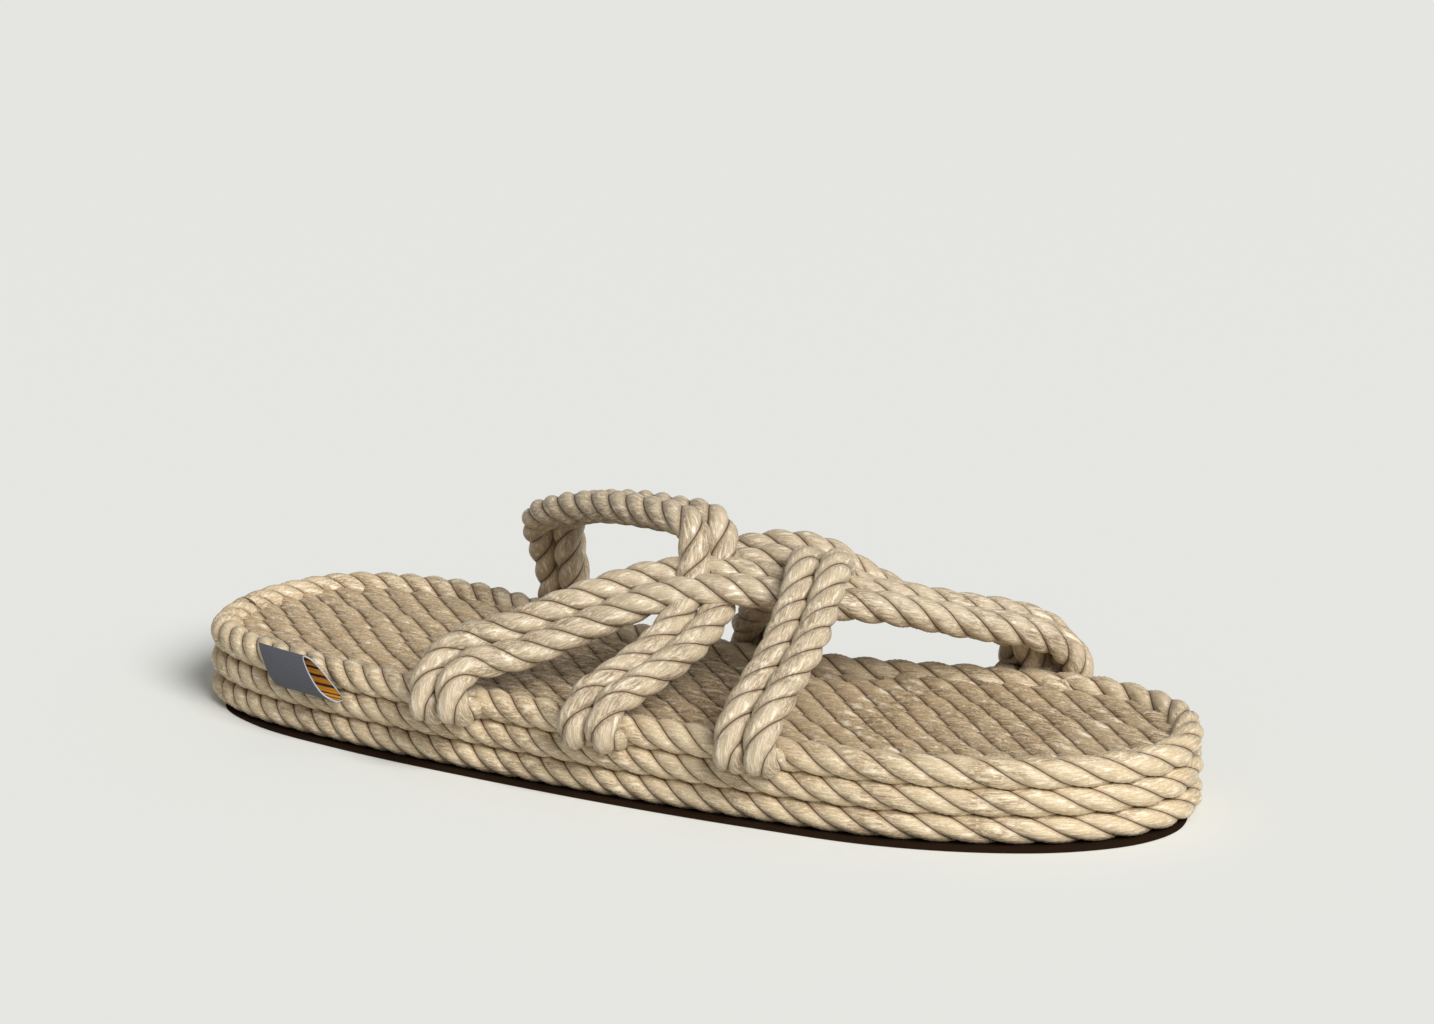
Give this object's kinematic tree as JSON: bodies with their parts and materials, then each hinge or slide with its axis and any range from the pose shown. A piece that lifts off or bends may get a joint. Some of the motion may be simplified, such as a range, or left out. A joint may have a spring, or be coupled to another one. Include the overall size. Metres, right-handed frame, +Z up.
{
  "type": "rope sandal",
  "caption": "Slip-on sandal made all of twisted rope: a stacked rope sole with a raised rim and crossing double-rope straps, right foot.",
  "frame": {"origin": "on the floor, under the middle of the sandal's box", "axes": "+X to the toe, +Y to the inner side of the foot, +Z up"},
  "size_m": [0.2594, 0.1042, 0.0607],
  "materials": {
    "rope": "twisted synthetic fibre, silky",
    "rope_lower": "twisted synthetic fibre, silky, a little duller",
    "label_cloth": "woven, matte"
  },
  "bodies": {
    "root": {"outsole": "rope_lower", "middle_course": "rope_lower", "footbed": "rope", "rim_rope": "rope", "upper": "rope", "label": "label_cloth"}
  },
  "joints": []
}
